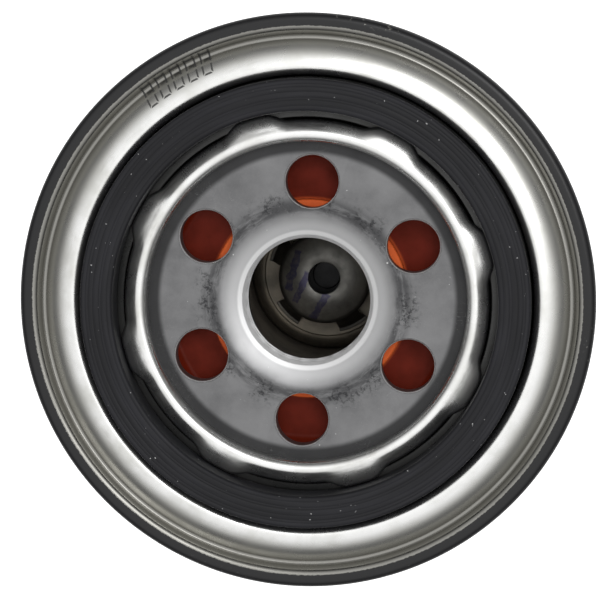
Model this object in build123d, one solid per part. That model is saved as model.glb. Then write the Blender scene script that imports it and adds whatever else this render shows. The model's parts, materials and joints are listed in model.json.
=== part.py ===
from build123d import *
import math
import os

# Spin-on oil filter. The closed end stands on z = 0 and +Z points out of the threaded end.
# Every piece is turned about the Z axis or placed round it.

# ---- overall sizes ----
seam_radius = 40.0          # outside of the rolled double seam
seam_top = 65.0             # height of the seam above the closed end
seam_height = 4.3

# ---- sheet and wall thicknesses ----
can_wall = 0.5
lid_wall = 0.4
cap_wall = 0.4
tube_wall = 0.4
cage_wall = 0.5
plate_thickness = 3.0
leaf_wall = 0.8

# ---- clearances ----
seam_gap = 0.05             # between the folded sheets of the seam
plate_gap = 0.2             # base plate to can
gasket_gap = 0.45           # gasket to the groove's outer wall
lug_gap = 0.05              # retaining bulges to gasket
body_gap = 0.3              # between round faces of pieces that move apart
fit_gap = 0.1               # between round faces of pieces fixed together

# ---- closed end ----
can_corner_radius = 6.0
centre_boss_radius = 10.0
centre_boss_height = 1.2
centre_boss_slope = 2.2
flute_count = 15
flute_depth = 0.85
flute_height = 17.0

# ---- threaded end ----
plate_depth = 3.0           # seam top down to the plate
gasket_inset = 8.9          # seam outside in to the gasket's outer edge
gasket_width = 4.5
gasket_thickness = 5.3
gasket_edge_radius = 0.5
ridge_gap = 1.2             # gasket's inner edge in to the ridge between bulges
ridge_width = 2.7
ridge_rise = 3.2            # ridge crest above the plate
ridge_fall = 0.6            # outer side of the ridge below its crest
crest_rise = 3.4            # crest outside the gasket, above the plate
shoulder_share = 0.55       # crest's shoulder, between the groove and the countersink
shoulder_fall = 0.4         # shoulder below the crest
shoulder_bend = 4.5
countersink_rise = 0.9
countersink_inset = 3.1     # seam outside in to the bottom of the countersink
countersink_bend = 0.7
bulge_count = 8
bulge_angle = 16.7
bulge_radius = 4.7

# ---- thread and neck, 3/4-16 ----
thread_major_radius = 9.525
thread_minor_radius = 8.75
thread_pitch = 1.5875
thread_crest = 0.4
lead_in_radius = 12.1
lead_in_depth = 1.0
neck_wall = 1.8
neck_length = 3.0           # below the plate
neck_chamfer = 0.5

# ---- inlet holes ----
inlet_count = 6
inlet_radius = 3.68
inlet_circle_radius = 16.7
inlet_angle = 27.6
inlet_chamfer = 0.25

# ---- anti-drainback valve ----
bead_height = 3.8
bead_width = 2.4
bead_chamfer = 0.6
flap_wall = 1.0
flap_drop = 1.8             # flap's upper face below the plate
lip_margin = 1.3            # inlet holes out to the sealing lip
lip_land = 0.4
lip_height = 0.8

# ---- filter element ----
element_floor = 11.0        # underside of the bottom cap
flow_gap = 3.0              # can to the end caps
cap_skirt = 3.2
cap_bend = 0.6
collar_bend = 0.4
collar_length = 4.6
cup_height = 9.9            # bottom cap's cup above its flat
cup_corner_radius = 2.0
cup_port_radius = 6.0
adhesive_thickness = 1.0
pleat_count = 48
pleat_margin = 0.6
pleat_fold_width = 1.0
pleat_root_width = 0.7
paper_thickness = 0.4
perforation_radius = 1.6
perforation_rows = 3
perforation_columns = 14
perforation_pitch = 4.4
perforation_top = 5.2       # top row below the tube's upper end

# ---- bypass valve ----
seat_radius = 9.8
seat_port_radius = 4.8
seat_thickness = 0.8
seat_land_width = 0.8
seat_land_height = 0.3
seal_thickness = 0.9
seal_overlap = 0.4          # seal beyond the seat's land
disc_thickness = 0.5
disc_margin = 0.2
rivet_radius = 1.2
rivet_head_radius = 2.2
rivet_head_height = 0.4
cage_height = 7.9           # cage top above the seat's flange, at its centre
cage_radius = 7.05
cage_dome = 0.7
cage_dome_radius = 9.0
cage_hole_radius = 2.4
cage_skirt = 2.2
cage_rim_radius = 0.8
leg_count = 5
leg_angle = -63.0
leg_spread = 30.0
leg_foot_radius = 8.5
leg_foot_width = 0.7
coil_wire_radius = 0.35
coil_radius = 4.6
coil_turns = 3.25

# ---- support spring ----
leaf_width = 9.0
leaf_bearing = 3.0          # table beyond the bottom cap's cup
leaf_foot_radius = 28.0
leaf_foot_length = 2.6
leaf_hole_radius = 7.0

# ---- seam sheets, from the outside in ----
panel_radius = seam_radius - lid_wall / 2
body_hook_radius = seam_radius - lid_wall - seam_gap - can_wall / 2
cover_hook_radius = body_hook_radius - can_wall / 2 - seam_gap - lid_wall / 2
can_radius = cover_hook_radius - lid_wall / 2 - seam_gap - can_wall / 2
chuck_radius = can_radius - can_wall / 2 - seam_gap - lid_wall / 2
can_outer_radius = can_radius + can_wall / 2
can_inner_radius = can_radius - can_wall / 2

# ---- heights at the threaded end, downwards ----
panel_height = seam_top - lid_wall / 2
flange_height = seam_top - lid_wall - seam_gap - can_wall / 2
seam_bottom = seam_top - seam_height
plate_top = seam_top - plate_depth
groove_floor = plate_top + lid_wall
gasket_top = groove_floor + gasket_thickness
plate_underside = plate_top - plate_thickness
neck_bottom = plate_underside - neck_length
bead_bottom = plate_underside - bead_height

# ---- radii at the threaded end ----
gasket_outer_radius = seam_radius - gasket_inset
gasket_inner_radius = gasket_outer_radius - gasket_width
groove_outer_radius = gasket_outer_radius + gasket_gap + lid_wall / 2
groove_inner_radius = gasket_inner_radius - ridge_gap - lid_wall / 2
lip_radius = groove_inner_radius - ridge_width
plate_radius = can_inner_radius - plate_gap
neck_radius = thread_major_radius + neck_wall
bead_inner_radius = neck_radius + body_gap
bead_outer_radius = bead_inner_radius + bead_width
seal_lip_radius = inlet_circle_radius + inlet_radius + lip_margin

# ---- element heights and radii ----
top_cap_height = bead_bottom - cap_wall / 2
bottom_cap_height = element_floor + cap_wall / 2
collar_radius = neck_radius + body_gap + cap_wall / 2
tube_inner_radius = collar_radius + cap_wall / 2 + fit_gap
tube_outer_radius = tube_inner_radius + tube_wall
cap_radius = can_inner_radius - flow_gap
tube_bottom = bottom_cap_height + cap_wall / 2 + body_gap
tube_top = top_cap_height - cap_wall / 2 - body_gap
media_bottom = bottom_cap_height + cap_wall / 2 + adhesive_thickness
media_top = top_cap_height - cap_wall / 2 - adhesive_thickness
media_inner_radius = tube_outer_radius + pleat_margin
media_outer_radius = cap_radius - cap_wall / 2 - pleat_margin
cup_top = bottom_cap_height + cup_height + cap_wall / 2
leaf_table_radius = collar_radius + leaf_bearing

# ---- bypass valve heights ----
seat_top = cup_top + seat_thickness
land_top = seat_top + seat_land_height
disc_bottom = land_top + seal_thickness
disc_top = disc_bottom + disc_thickness
cage_top = seat_top + cage_height
seal_radius = seat_port_radius + seat_land_width + seal_overlap


def profile(corners):
    """Face in the axis plane through (radius, height, corner radius) points."""
    points = [Vector(corner[0], 0, corner[1]) for corner in corners]
    edges = []
    ends = []
    for i, here in enumerate(points):
        to_last = (points[i - 1] - here).normalized()
        to_next = (points[(i + 1) % len(points)] - here).normalized()
        bend = corners[i][2] if len(corners[i]) > 2 else 0
        if bend < 1e-6:
            ends.append((here, here))
            continue
        half_angle = math.radians(to_last.get_angle(to_next)) / 2
        reach = bend / math.tan(half_angle)
        inward = (to_last + to_next).normalized()
        middle = here + inward * (bend / math.sin(half_angle) - bend)
        ends.append((here + to_last * reach, here + to_next * reach))
        edges.append(ThreePointArc(ends[i][0], middle, ends[i][1]))
    for i, (start, _) in enumerate(ends):
        if (start - ends[i - 1][1]).length > 1e-6:
            edges.append(Line(ends[i - 1][1], start))
    return make_face(edges)


def sides(path, wall):
    """Corner points of both sides of a sheet along a (radius, height, bend radius) centreline."""
    left, right = [], []
    points = [Vector(corner[0], 0, corner[1]) for corner in path]
    for i, here in enumerate(points):
        first, last = i == 0, i == len(points) - 1
        before = (points[1] - here if first else here - points[i - 1]).normalized()
        after = before if last else (points[i + 1] - here).normalized()
        normal = Vector(-before.Z, 0, before.X)
        mitre = (normal + Vector(-after.Z, 0, after.X)).normalized()
        reach = mitre * (wall / 2 / mitre.dot(normal))
        left_turn = before.X * after.Z - before.Z * after.X > 0
        bend = 0 if first or last else path[i][2]
        change = wall / 2 if bend else 0
        if left_turn:
            change = -change
        left.append(((here + reach).X, (here + reach).Z, bend + change))
        right.append(((here - reach).X, (here - reach).Z, bend - change))
    return left, right


def sheet(path, wall):
    """Face of a bent sheet of even thickness."""
    left, right = sides(path, wall)
    return profile(left + right[::-1])


def turned(face, angle=360.0):
    """The face turned about the Z axis."""
    return revolve(face, axis=Axis.Z, revolution_arc=angle)


def ring(inner_radius, outer_radius, bottom, top, edge_radius=0.0):
    """Plain ring, with all four edges rounded alike."""
    return turned(profile([
        (inner_radius, bottom, edge_radius),
        (outer_radius, bottom, edge_radius),
        (outer_radius, top, edge_radius),
        (inner_radius, top, edge_radius),
    ]))


def round_about(solid, count, start_angle=0.0):
    """Copies of a solid spaced evenly round the Z axis."""
    return [Rot(0, 0, start_angle + i * 360.0 / count) * solid for i in range(count)]


def canister():
    """Drawn can with a stepped closed end, wrench flats and the seam's body hook."""
    floor_height = can_wall / 2
    boss_top = floor_height + centre_boss_height
    join_height = can_corner_radius + flute_height
    cup_path = [
        (0, boss_top),
        (centre_boss_radius, boss_top, centre_boss_slope),
        (centre_boss_radius + centre_boss_slope, floor_height, centre_boss_slope),
        (can_radius, floor_height, can_corner_radius),
        (can_radius, join_height),
    ]
    inside, outside = sides(cup_path, can_wall)
    flat_angle = math.degrees(math.atan(flute_depth / flute_height))
    flat_place = Pos(can_outer_radius, 0, flute_height) * Rot(0, flat_angle, 0)
    flat_size = 2 * can_outer_radius * math.tan(math.pi / flute_count)
    cutter = Box(
        flute_height, 1.5 * flat_size, 3 * flute_height,
        align=(Align.MIN, Align.CENTER, Align.CENTER),
    )
    outer = turned(profile(outside + [(0, join_height)]))
    inner = turned(profile(inside + [(0, join_height)]))
    outer -= round_about(flat_place * cutter, flute_count)
    inner -= round_about(flat_place * Pos(-can_wall, 0, 0) * cutter, flute_count)
    hook_bend = (body_hook_radius - can_radius) / 2
    wall_path = [
        (can_radius, join_height),
        (can_radius, flange_height, hook_bend),
        (body_hook_radius, flange_height, hook_bend),
        (body_hook_radius, seam_bottom + 2 * lid_wall + 4 * seam_gap),
    ]
    return outer - inner + turned(sheet(wall_path, can_wall))


def seam_lid():
    """Gasket retainer: inner ridge, gasket groove, outer crest, countersink and seam."""
    wall_bend = 0.6
    roll_bend = 0.9
    groove_height = plate_top + lid_wall / 2
    ridge_height = plate_top + ridge_rise - lid_wall / 2
    crest_height = plate_top + crest_rise - lid_wall / 2
    countersink_radius = seam_radius - countersink_inset
    countersink_height = plate_top + countersink_rise
    shoulder_reach = shoulder_share * (countersink_radius - groove_outer_radius)
    seam_bend = 0.4 * (panel_radius - chuck_radius)
    hook_bend = (panel_radius - cover_hook_radius) / 2
    path = [
        (lip_radius, plate_top + seam_gap),
        (lip_radius, ridge_height, roll_bend),
        (groove_inner_radius, ridge_height - ridge_fall, wall_bend),
        (groove_inner_radius, groove_height, wall_bend),
        (groove_outer_radius, groove_height, wall_bend),
        (groove_outer_radius, crest_height, roll_bend),
        (groove_outer_radius + shoulder_reach, crest_height - shoulder_fall, shoulder_bend),
        (countersink_radius, countersink_height, countersink_bend),
        (chuck_radius, panel_height, seam_bend),
        (panel_radius, panel_height, seam_bend),
        (panel_radius, seam_bottom + lid_wall / 2, hook_bend),
        (cover_hook_radius, seam_bottom + lid_wall / 2, hook_bend),
        (cover_hook_radius, flange_height - can_wall / 2 - 2 * lid_wall),
    ]
    lid = turned(sheet(path, lid_wall))
    bulge_reach = gasket_inner_radius - lug_gap
    bulge_centre = bulge_reach - bulge_radius
    bulge_top = ridge_height - ridge_fall - lid_wall / 2
    bulge_bottom = plate_top + 2 * lid_wall
    bulge_height = bulge_top - bulge_bottom
    bulge_place = Pos(bulge_centre, 0, (bulge_top + bulge_bottom) / 2)
    hollow = Cylinder(bulge_radius - lid_wall, bulge_height - 2 * lid_wall)
    shell = Cylinder(bulge_radius, bulge_height) - hollow
    shell = bulge_place * shell - ring(0, groove_inner_radius, plate_top, seam_top)
    lid -= round_about(bulge_place * hollow, bulge_count, bulge_angle)
    return lid + round_about(shell, bulge_count, bulge_angle)


def seam_sealant():
    """Compound squeezed into the fold above the cover hook."""
    top = flange_height - can_wall / 2 - 3 * seam_gap
    bottom = flange_height - can_wall / 2 - 2 * lid_wall + seam_gap
    half_width = lid_wall / 2 - seam_gap
    return ring(cover_hook_radius - half_width, cover_hook_radius + half_width, bottom, top, 0.1)


def thread_side(bottom, top):
    """Corner points of the thread's section, from its lower end up."""
    flank = (thread_major_radius - thread_minor_radius) * math.tan(math.radians(30))
    root = thread_pitch - thread_crest - 2 * flank
    turns = int((top - bottom - thread_crest) / thread_pitch)
    corners = [(thread_minor_radius, bottom)]
    for turn in range(turns):
        start = bottom + thread_crest + turn * thread_pitch
        corners += [
            (thread_minor_radius, start),
            (thread_major_radius, start + flank),
            (thread_major_radius, start + flank + root),
            (thread_minor_radius, start + 2 * flank + root),
        ]
    return corners + [(thread_minor_radius, top)]


def base_plate():
    """Thick plate with the inlet holes and the threaded neck."""
    entry_radius = thread_major_radius + fit_gap
    entry_height = plate_top - lead_in_depth
    entry_drop = entry_radius - thread_minor_radius
    plate = turned(profile([
        (lead_in_radius, plate_top, 1.0),
        (plate_radius, plate_top, 0.4),
        (plate_radius, plate_underside, 0.4),
        (neck_radius, plate_underside, 0.4),
        (neck_radius, neck_bottom, 0.4),
        (thread_minor_radius + neck_chamfer, neck_bottom),
        *thread_side(neck_bottom + neck_chamfer, entry_height - entry_drop),
        (entry_radius, entry_height),
    ]))
    middle = (plate_top + plate_underside) / 2
    drill = Pos(inlet_circle_radius, 0, middle) * Cylinder(inlet_radius, 2 * plate_thickness)
    flare = Pos(inlet_circle_radius, 0, plate_top) * Cone(
        inlet_radius - inlet_chamfer, inlet_radius + inlet_chamfer, 2 * inlet_chamfer
    )
    return plate - round_about(drill + flare, inlet_count, inlet_angle)


def sealing_gasket():
    """Square-section rubber ring that seals on the engine."""
    return turned(profile([
        (gasket_inner_radius, groove_floor, gasket_edge_radius),
        (gasket_outer_radius, groove_floor, gasket_edge_radius),
        (gasket_outer_radius, gasket_top, gasket_edge_radius),
        (gasket_inner_radius, gasket_top, gasket_edge_radius),
    ]))


def anti_drainback_valve():
    """Silicone diaphragm: a bead round the neck and a flap that rises to a sealing lip."""
    flap_top = plate_underside - flap_drop
    flap_bottom = flap_top - flap_wall
    rise_start = seal_lip_radius - flap_drop
    upper_bend = 1.0
    lower_bend = upper_bend + flap_wall / 2
    return turned(profile([
        (bead_inner_radius, plate_underside - bead_chamfer),
        (bead_inner_radius + bead_chamfer, plate_underside),
        (bead_outer_radius, plate_underside, 0.3),
        (bead_outer_radius, flap_top, 0.4),
        (rise_start, flap_top, upper_bend),
        (seal_lip_radius, plate_underside),
        (seal_lip_radius + lip_land, plate_underside),
        (seal_lip_radius + lip_land, plate_underside - lip_height),
        (rise_start + lip_land, flap_bottom, lower_bend),
        (bead_outer_radius + flap_wall, flap_bottom, 0.8),
        (bead_outer_radius, bead_bottom, 0.3),
        (bead_inner_radius, bead_bottom),
    ]))


def top_end_cap():
    """Pressed cap with a collar down into the centre tube."""
    return turned(sheet([
        (collar_radius, top_cap_height - collar_length),
        (collar_radius, top_cap_height, collar_bend),
        (cap_radius, top_cap_height, cap_bend),
        (cap_radius, top_cap_height - cap_skirt),
    ], cap_wall))


def bottom_end_cap():
    """Pressed cap with a cup drawn up into the centre tube for the bypass valve."""
    cup_height_middle = cup_top - cap_wall / 2
    return turned(sheet([
        (cup_port_radius, cup_height_middle),
        (collar_radius, cup_height_middle, cup_corner_radius),
        (collar_radius, bottom_cap_height, collar_bend),
        (cap_radius, bottom_cap_height, cap_bend),
        (cap_radius, bottom_cap_height + cap_skirt),
    ], cap_wall))


def center_tube():
    """Tube inside the paper, with rows of holes near its upper end."""
    tube = ring(tube_inner_radius, tube_outer_radius, tube_bottom, tube_top)
    bar = Rot(0, 90, 0) * Cylinder(
        perforation_radius, 2 * tube_outer_radius, align=(Align.CENTER, Align.CENTER, Align.MIN)
    )
    for row in range(perforation_rows):
        height = tube_top - perforation_top - row * perforation_pitch
        offset = 180.0 / perforation_columns * (row % 2)
        tube -= round_about(Pos(0, 0, height) * bar, perforation_columns, offset)
    return tube


def pleat_outline(growth):
    """Star-shaped outline of the pleats, moved outwards by growth."""
    outer_half = (pleat_fold_width / 2 + growth) / media_outer_radius
    inner_half = (pleat_root_width / 2 - growth) / media_inner_radius
    outer = media_outer_radius - paper_thickness / 2 + growth
    inner = media_inner_radius + paper_thickness / 2 + growth
    points = []
    for pleat in range(pleat_count):
        tip = 2 * math.pi * pleat / pleat_count
        root = tip + math.pi / pleat_count
        for radius, angle in (
            (outer, tip - outer_half), (outer, tip + outer_half),
            (inner, root - inner_half), (inner, root + inner_half),
        ):
            points.append((radius * math.cos(angle), radius * math.sin(angle)))
    return make_face(Polyline(*points, close=True))


def pleated_media():
    """Pleated filter paper, closed into a ring."""
    paper = pleat_outline(paper_thickness / 2) - pleat_outline(-paper_thickness / 2)
    return Pos(0, 0, media_bottom) * extrude(paper, amount=media_top - media_bottom)


def media_seam_clip():
    """Channel pressed over the pleat where the paper's ends meet."""
    clip_wall = 0.3
    clip_depth = 2.6
    inner_width = pleat_fold_width + paper_thickness + 2 * fit_gap
    bottom = bottom_cap_height + cap_skirt + body_gap
    height = top_cap_height - cap_skirt - body_gap - bottom
    outer_face = media_outer_radius + fit_gap + clip_wall
    low = (Align.MAX, Align.CENTER, Align.MIN)
    channel = Pos(outer_face, 0, bottom) * Box(
        clip_depth, inner_width + 2 * clip_wall, height, align=low
    )
    return channel - Pos(outer_face - clip_wall, 0, bottom) * Box(
        clip_depth, inner_width, height, align=low
    )


def adhesive(bottom):
    """Flat ring of set plastisol between the paper and a cap."""
    inner = tube_outer_radius + fit_gap
    outer = cap_radius - cap_bend
    return ring(inner, outer, bottom, bottom + adhesive_thickness, 0.1)


def bypass_valve_seat():
    """Flange on the cup, with a raised land round its port."""
    return turned(profile([
        (seat_port_radius, cup_top),
        (seat_radius, cup_top, 0.2),
        (seat_radius, seat_top, 0.2),
        (seat_port_radius + seat_land_width, seat_top),
        (seat_port_radius + seat_land_width, land_top),
        (seat_port_radius, land_top),
    ]))


def bypass_valve_seal():
    """Rubber washer under the poppet."""
    return ring(rivet_radius + fit_gap, seal_radius, land_top, disc_bottom, 0.1)


def bypass_valve_disc():
    """Poppet disc that carries the seal and the spring."""
    return ring(rivet_radius + fit_gap, seal_radius + disc_margin, disc_bottom, disc_top, 0.15)


def bypass_seal_rivet():
    """Rivet that holds the seal to the poppet disc."""
    return turned(profile([
        (0, land_top - rivet_head_height),
        (rivet_head_radius, land_top - rivet_head_height, 0.2),
        (rivet_head_radius, land_top),
        (rivet_radius, land_top),
        (rivet_radius, disc_top),
        (rivet_head_radius, disc_top),
        (rivet_head_radius, disc_top + rivet_head_height, 0.2),
        (0, disc_top + rivet_head_height),
    ]))


def bypass_spring():
    """Coil spring between the poppet and the cage."""
    bottom = disc_top + coil_wire_radius
    top = cage_top - cage_dome - cage_wall - coil_wire_radius
    line = Helix(pitch=(top - bottom) / coil_turns, height=top - bottom, radius=coil_radius)
    wire = sweep(Plane(line @ 0, z_dir=line % 0) * Circle(coil_wire_radius), path=line)
    return Pos(0, 0, bottom) * wire


def bypass_cage():
    """Domed cage with a centre hole, on legs that splay out to the seat's flange."""
    crown = cage_top - cage_wall / 2
    wall_radius = cage_radius - cage_wall / 2
    skirt_bottom = crown - cage_dome - cage_skirt
    dome = turned(sheet([
        (cage_hole_radius, crown),
        ((cage_hole_radius + wall_radius) / 2, crown - cage_dome / 5, cage_dome_radius),
        (wall_radius, crown - cage_dome, cage_rim_radius),
        (wall_radius, skirt_bottom),
    ], cage_wall))
    foot_height = seat_top + cage_wall / 2
    leg_path = [
        (wall_radius, skirt_bottom + cage_skirt / 2),
        (wall_radius, skirt_bottom, 0.6),
        (leg_foot_radius, foot_height, 0.5),
        (leg_foot_radius + leg_foot_width, foot_height),
    ]
    leg = Rot(0, 0, -leg_spread / 2) * turned(sheet(leg_path, cage_wall), leg_spread)
    return dome + round_about(leg, leg_count, leg_angle)


def support_spring():
    """Leaf spring with four legs that presses the element up from the closed end."""
    table_height = element_floor - leaf_wall / 2
    foot_height = can_wall + leaf_wall / 2
    bend = 2.0
    right_half = [
        (leaf_table_radius, table_height, bend),
        (leaf_foot_radius, foot_height, bend),
        (leaf_foot_radius + leaf_foot_length, foot_height, 0),
    ]
    left_half = [(-reach, height, turn) for reach, height, turn in reversed(right_half)]
    leaf = extrude(sheet(left_half + right_half, leaf_wall), amount=leaf_width / 2, both=True)
    table = Pos(0, 0, table_height) * Cylinder(leaf_table_radius, leaf_wall)
    hole = Pos(0, 0, table_height) * Cylinder(leaf_hole_radius, 4 * leaf_wall)
    return leaf + Rot(0, 0, 90) * leaf + table - hole


pieces = {
    "canister": canister(),
    "seam_lid": seam_lid(),
    "seam_sealant": seam_sealant(),
    "base_plate": base_plate(),
    "sealing_gasket": sealing_gasket(),
    "anti_drainback_valve": anti_drainback_valve(),
    "top_end_cap": top_end_cap(),
    "bottom_end_cap": bottom_end_cap(),
    "center_tube": center_tube(),
    "pleated_media": pleated_media(),
    "media_seam_clip": media_seam_clip(),
    "top_adhesive": adhesive(media_top),
    "bottom_adhesive": adhesive(media_bottom - adhesive_thickness),
    "bypass_valve_seat": bypass_valve_seat(),
    "bypass_valve_seal": bypass_valve_seal(),
    "bypass_valve_disc": bypass_valve_disc(),
    "bypass_seal_rivet": bypass_seal_rivet(),
    "bypass_spring": bypass_spring(),
    "bypass_cage": bypass_cage(),
    "support_spring": support_spring(),
}

os.makedirs("parts", exist_ok=True)
for name, piece in pieces.items():
    export_step(piece, f"parts/{name}.step")
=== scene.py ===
import json
import math

import bpy
from mathutils import Matrix, Vector

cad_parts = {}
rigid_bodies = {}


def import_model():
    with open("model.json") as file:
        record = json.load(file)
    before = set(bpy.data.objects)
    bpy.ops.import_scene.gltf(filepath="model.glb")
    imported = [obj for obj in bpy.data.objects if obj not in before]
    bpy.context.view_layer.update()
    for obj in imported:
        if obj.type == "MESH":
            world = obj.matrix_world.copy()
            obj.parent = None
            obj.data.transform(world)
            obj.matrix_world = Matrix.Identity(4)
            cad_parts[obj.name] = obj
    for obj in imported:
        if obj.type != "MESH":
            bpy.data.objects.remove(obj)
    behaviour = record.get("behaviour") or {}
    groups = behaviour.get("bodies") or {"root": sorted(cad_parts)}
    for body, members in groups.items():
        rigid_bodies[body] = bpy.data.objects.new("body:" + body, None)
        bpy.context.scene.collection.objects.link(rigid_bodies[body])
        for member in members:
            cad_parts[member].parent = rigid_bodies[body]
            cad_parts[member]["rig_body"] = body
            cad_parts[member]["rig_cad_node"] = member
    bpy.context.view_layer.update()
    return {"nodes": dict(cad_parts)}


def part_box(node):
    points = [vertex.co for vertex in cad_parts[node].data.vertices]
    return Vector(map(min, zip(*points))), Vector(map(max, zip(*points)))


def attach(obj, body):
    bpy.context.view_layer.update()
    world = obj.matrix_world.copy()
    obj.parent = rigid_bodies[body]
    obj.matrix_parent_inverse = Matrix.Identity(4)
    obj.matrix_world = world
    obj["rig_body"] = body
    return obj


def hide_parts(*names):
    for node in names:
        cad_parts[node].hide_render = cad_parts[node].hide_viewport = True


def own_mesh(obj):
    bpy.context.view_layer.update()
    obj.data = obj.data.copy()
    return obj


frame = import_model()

mm = 0.001
nodes = frame["nodes"]

# ---- sizes taken from the frame ----
lid_low, lid_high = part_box("seam_lid")
plate_low, plate_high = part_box("base_plate")
gasket_low, gasket_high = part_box("sealing_gasket")
valve_low, valve_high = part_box("anti_drainback_valve")
cage_low, cage_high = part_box("bypass_cage")
disc_low, disc_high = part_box("bypass_valve_disc")
spring_low, spring_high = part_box("bypass_spring")

seam_radius = lid_high.x
seam_bottom = lid_low.z
plate_top = plate_high.z
gasket_radius = gasket_high.x

# ---- sizes of the turned pieces ----
lid_wall = 0.4 * mm
can_wall = 0.5 * mm
seam_gap = 0.05 * mm
seam_height = 4.3 * mm
seam_top = seam_bottom + seam_height
plate_thickness = 3.0 * mm
plate_underside = plate_top - plate_thickness
gasket_width = 4.5 * mm
ridge_gap = 1.2 * mm
ridge_width = 2.7 * mm
groove_radius = gasket_radius + 0.45 * mm + lid_wall / 2
ridge_radius = gasket_radius - gasket_width - ridge_gap - lid_wall / 2
lip_radius = ridge_radius - ridge_width
countersink_radius = seam_radius - 3.1 * mm
paint_radius = seam_radius - 1.8 * mm
bulge_count = 8
bulge_angle = math.radians(16.7)
bulge_reach = 1.12 * mm
thread_major = 9.525 * mm
thread_minor = 8.75 * mm
thread_pitch = 1.5875 * mm
lead_in_radius = 12.1 * mm
neck_radius = thread_major + 1.8 * mm
hole_count = 6
hole_radius = 3.68 * mm
hole_circle = 16.7 * mm
hole_angle = math.radians(27.6)
bead_radius = neck_radius + 2.7 * mm
flap_top = plate_underside - 1.8 * mm
flap_wall = 1.0 * mm
round_steps = 288


# ---- modelling ----

def arc_points(before, corner, after, bend):
    """Points along the arc that rounds a corner."""
    to_last = (before - corner).normalized()
    to_next = (after - corner).normalized()
    half_angle = to_last.angle(to_next) / 2
    inward = (to_last + to_next).normalized()
    centre = corner + inward * (bend / math.sin(half_angle))
    start = corner + to_last * (bend / math.tan(half_angle)) - centre
    turn = math.pi - 2 * half_angle
    steps = max(2, round(math.degrees(turn) / 9))
    axis = start.cross(-inward)
    return [centre + Matrix.Rotation(turn * i / steps, 3, axis) @ start for i in range(steps + 1)]


def outline(corners, closed=True):
    """Points of an outline on the axis plane through (radius, height, corner radius) corners."""
    places = [Vector((corner[0], 0, corner[1])) for corner in corners]
    points = []
    for i, here in enumerate(places):
        bend = corners[i][2] if len(corners[i]) > 2 else 0
        end = not closed and i in (0, len(places) - 1)
        if end or bend < 1e-7:
            points.append(here)
        else:
            points += arc_points(places[i - 1], here, places[(i + 1) % len(places)], bend)
    return points


def sheet_outline(path, wall, edge=0.3):
    """Corners round both sides of a sheet along a (radius, height, bend radius) centreline."""
    left, right = [], []
    places = [Vector((corner[0], 0, corner[1])) for corner in path]
    for i, here in enumerate(places):
        first, last = i == 0, i == len(places) - 1
        before = (places[1] - here if first else here - places[i - 1]).normalized()
        after = before if last else (places[i + 1] - here).normalized()
        normal = Vector((-before.z, 0, before.x))
        mitre = (normal + Vector((-after.z, 0, after.x))).normalized()
        reach = mitre * (wall / 2 / mitre.dot(normal))
        change = wall / 2 if before.x * after.z < before.z * after.x else -wall / 2
        bends = (edge * wall,) * 2 if first or last else (path[i][2] + change, path[i][2] - change)
        left.append(((here + reach).x, (here + reach).z, bends[0]))
        right.append(((here - reach).x, (here - reach).z, bends[1]))
    return left + right[::-1]


def select_none():
    if bpy.context.mode != "OBJECT":
        bpy.ops.object.mode_set(mode="OBJECT")
    bpy.ops.object.select_all(action="DESELECT")


def take(piece):
    """Selects only this piece."""
    select_none()
    piece.select_set(True)
    bpy.context.view_layer.objects.active = piece


def draw(name, points, closed=True):
    """A new piece, still in edit mode: one vertex extruded along an outline."""
    select_none()
    bpy.ops.mesh.primitive_plane_add(size=mm)
    piece = bpy.context.active_object
    piece.name = piece.data.name = name
    bpy.ops.object.mode_set(mode="EDIT")
    bpy.ops.mesh.select_all(action="SELECT")
    bpy.ops.mesh.merge(type="CENTER")
    bpy.ops.transform.translate(value=points[0])
    for last, here in zip(points, points[1:]):
        bpy.ops.mesh.extrude_vertices_move(TRANSFORM_OT_translate={"value": here - last})
    if closed:
        bpy.ops.object.mode_set(mode="OBJECT")
        for i in (0, len(points) - 1):
            piece.data.vertices[i].select = True
        bpy.ops.object.mode_set(mode="EDIT")
        bpy.ops.mesh.edge_face_add()
    return piece


def clean(piece, smooth_angle=38):
    """Merges doubles, turns the faces outwards and smooths the round stretches."""
    take(piece)
    bpy.ops.object.mode_set(mode="EDIT")
    bpy.ops.mesh.select_all(action="SELECT")
    bpy.ops.mesh.remove_doubles(threshold=1e-7)
    bpy.ops.mesh.normals_make_consistent(inside=False)
    bpy.ops.object.mode_set(mode="OBJECT")
    bpy.ops.object.shade_smooth_by_angle(angle=math.radians(smooth_angle))
    return piece


def spin_round(piece, steps=round_steps):
    """Turns the drawn outline about the Z axis into a closed piece."""
    bpy.ops.mesh.select_all(action="SELECT")
    bpy.ops.mesh.spin(
        steps=steps, angle=2 * math.pi, center=(0, 0, 0), axis=(0, 0, 1), use_auto_merge=True
    )
    return clean(piece)


def turn(name, corners, closed=True, steps=round_steps):
    return spin_round(draw(name, outline(corners, closed), closed), steps)


def apply(piece, kind, **settings):
    """Adds a modifier with these settings and applies it."""
    take(piece)
    modifier = piece.modifiers.new(kind.title(), kind)
    for setting, value in settings.items():
        setattr(modifier, setting, value)
    bpy.ops.object.modifier_apply(modifier=modifier.name)


def cut(piece, cutter):
    """Cuts one piece out of another and removes the cutter."""
    apply(piece, "BOOLEAN", operation="DIFFERENCE", object=cutter, solver="EXACT")
    bpy.data.objects.remove(cutter)


def move_points(piece, change):
    """Moves each point of a piece to where change(place) says."""
    for vertex in piece.data.vertices:
        vertex.co = change(vertex.co)


def soft_step(value, low, high):
    share = min(1, max(0, (value - low) / (high - low)))
    return share * share * (3 - 2 * share)


# ---- nodes of a finish ----

def new_finish(name):
    finish = bpy.data.materials.new(name)
    finish.use_nodes = True
    return finish, finish.node_tree, finish.node_tree.nodes["Principled BSDF"]


def feed(tree, socket, value):
    """Links an output to an input, or sets it."""
    if isinstance(value, bpy.types.NodeSocket):
        tree.links.new(value, socket)
    else:
        socket.default_value = value


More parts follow.
